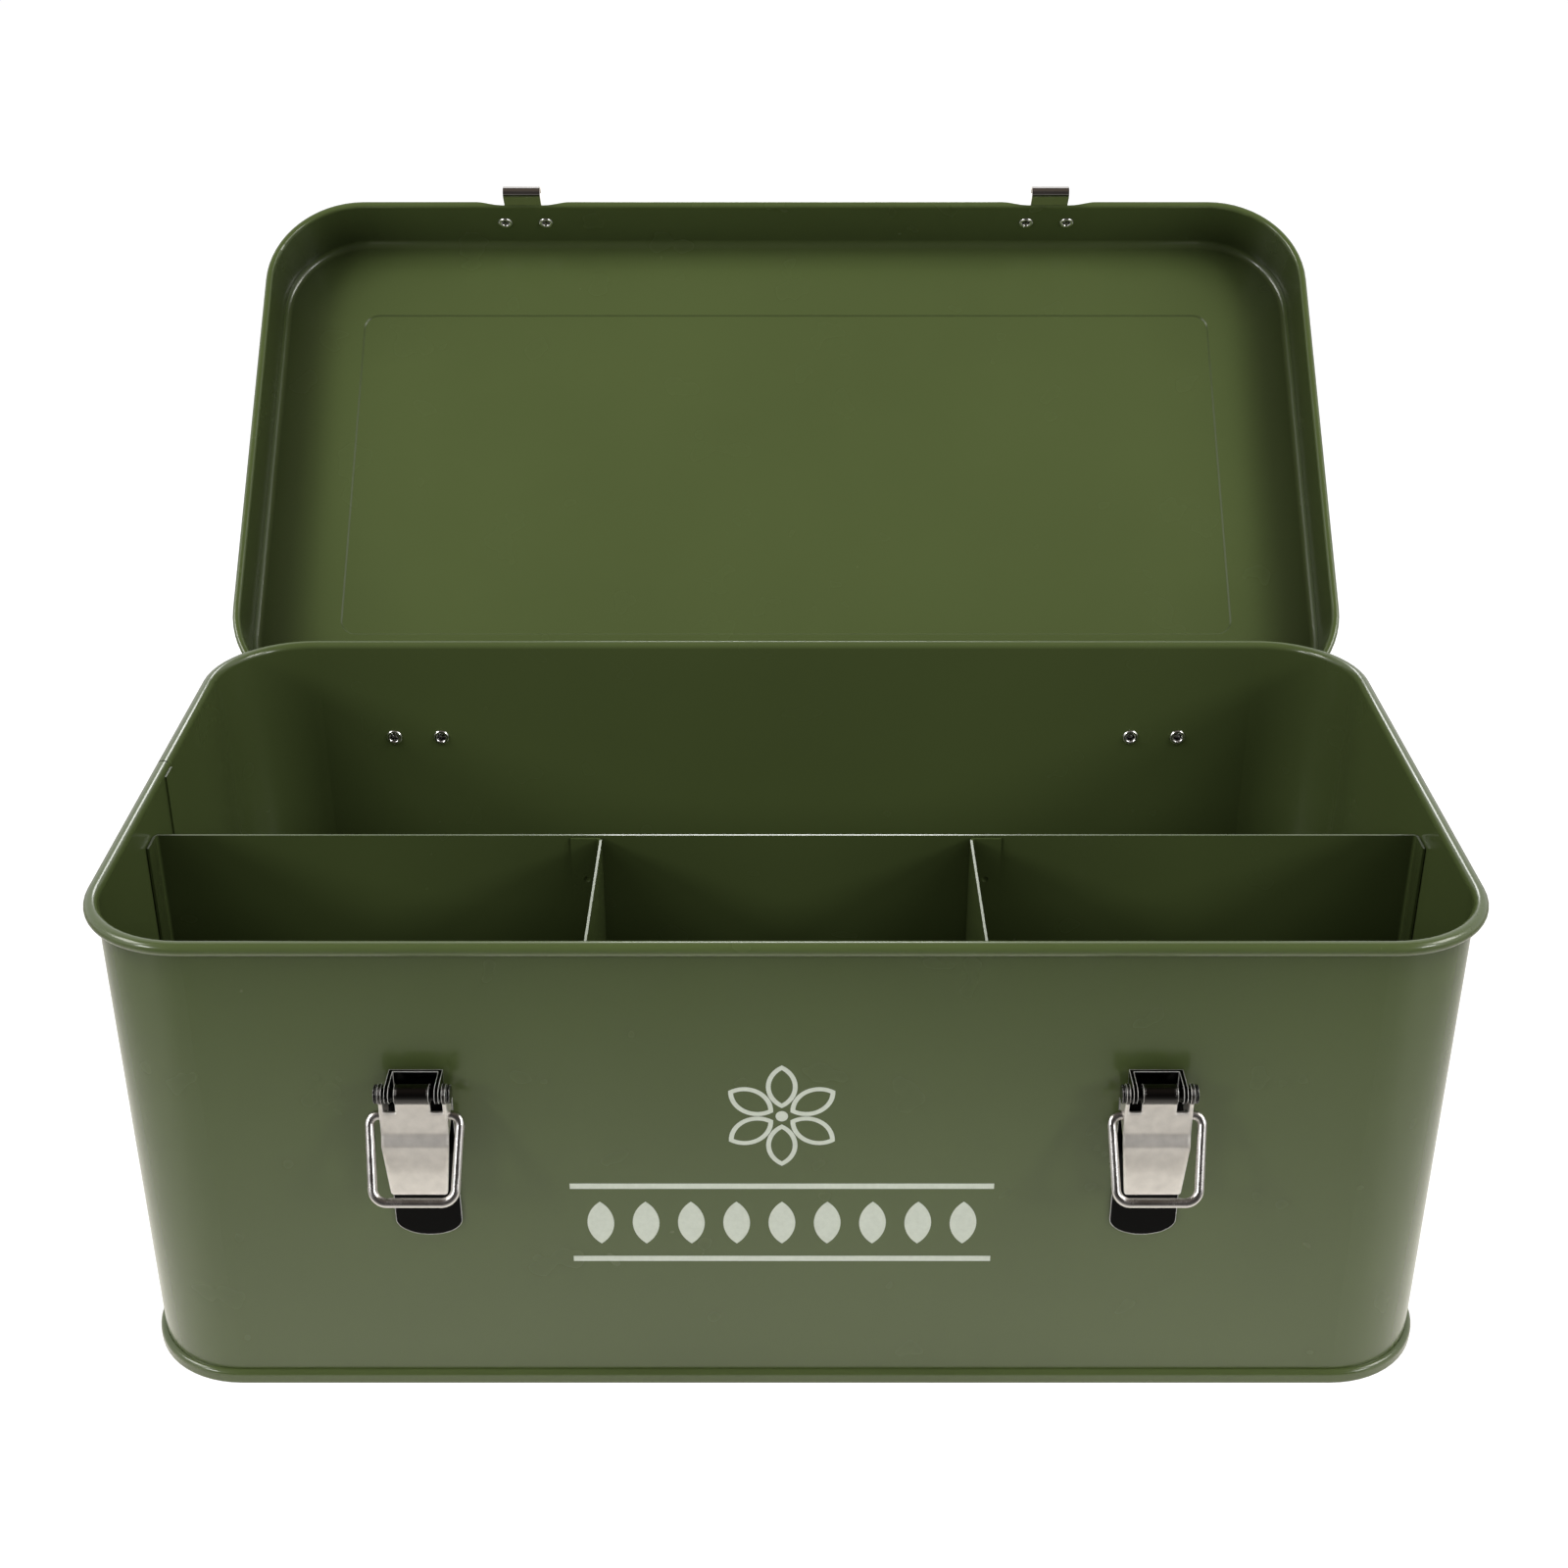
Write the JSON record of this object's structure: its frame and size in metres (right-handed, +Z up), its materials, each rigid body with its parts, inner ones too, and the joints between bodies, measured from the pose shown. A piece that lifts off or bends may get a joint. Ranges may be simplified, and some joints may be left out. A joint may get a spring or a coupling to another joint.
{
  "type": "seed organizer box",
  "caption": "Green sheet-steel storage box with a hinged lid, front draw latches, a rear compartment and divided front compartments.",
  "frame": {"origin": "centre of the box's footprint, on the plane that it stands on", "axes": "+X to the right seen from the latches, +Y to the hinges at the back, +Z up"},
  "size_m": [0.3434, 0.3398, 0.237],
  "materials": {
    "box_paint": "semi-gloss olive green enamel",
    "lid_paint": "semi-gloss olive green enamel",
    "divider_paint": "semi-gloss olive green enamel",
    "bright_plate": "bright nickel plate",
    "satin_plate": "satin nickel plate",
    "rivet_steel": "plated steel rivets",
    "wire_steel": "polished nickel-plated wire"
  },
  "bodies": {
    "case": {"body_wrapper": "box_paint", "base_pan": "box_paint", "long_divider": "divider_paint", "cross_divider_left": "divider_paint", "hinge_body_leaf_left": "bright_plate", "hinge_body_rivets_left": "rivet_steel", "hinge_pin_left": "bright_plate", "latch_base_left": "bright_plate", "latch_base_rivets_left": "rivet_steel", "latch_pin_left": "bright_plate", "cross_divider_right": "divider_paint", "hinge_body_leaf_right": "bright_plate", "hinge_body_rivets_right": "rivet_steel", "hinge_pin_right": "bright_plate", "latch_base_right": "bright_plate", "latch_base_rivets_right": "rivet_steel", "latch_pin_right": "bright_plate"},
    "lid": {"lid_shell": "lid_paint", "hinge_lid_leaf_left": "bright_plate", "hinge_lid_rivets_left": "rivet_steel", "catch_plate_left": "bright_plate", "catch_rivets_left": "rivet_steel", "hinge_lid_leaf_right": "bright_plate", "hinge_lid_rivets_right": "rivet_steel", "catch_plate_right": "bright_plate", "catch_rivets_right": "rivet_steel"},
    "lever_left": {"latch_lever_left": "satin_plate"},
    "bail_left": {"latch_bail_left": "wire_steel"},
    "lever_right": {"latch_lever_right": "satin_plate"},
    "bail_right": {"latch_bail_right": "wire_steel"}
  },
  "joints": [
    {"name": "lid_hinge", "type": "hinge", "parent": "case", "child": "lid", "pos_m": [0, 0.09014, 0.1123], "axis": [-1, 0, 0], "range_deg": [-138.6, 0]},
    {"name": "lever_pivot_left", "type": "hinge", "parent": "case", "child": "lever_left", "pos_m": [-0.088, -0.0907, 0.0948], "axis": [-1, 0, 0], "range_deg": [0, 122]},
    {"name": "bail_pivot_left", "type": "hinge", "parent": "lever_left", "child": "bail_left", "pos_m": [-0.088, -0.09, 0.0883], "axis": [1, 0, 0], "range_deg": [-145.53, 16]},
    {"name": "lever_pivot_right", "type": "hinge", "parent": "case", "child": "lever_right", "pos_m": [0.088, -0.0907, 0.0948], "axis": [-1, 0, 0], "range_deg": [0, 122]},
    {"name": "bail_pivot_right", "type": "hinge", "parent": "lever_right", "child": "bail_right", "pos_m": [0.088, -0.09, 0.0883], "axis": [1, 0, 0], "range_deg": [-145.53, 16]}
  ]
}
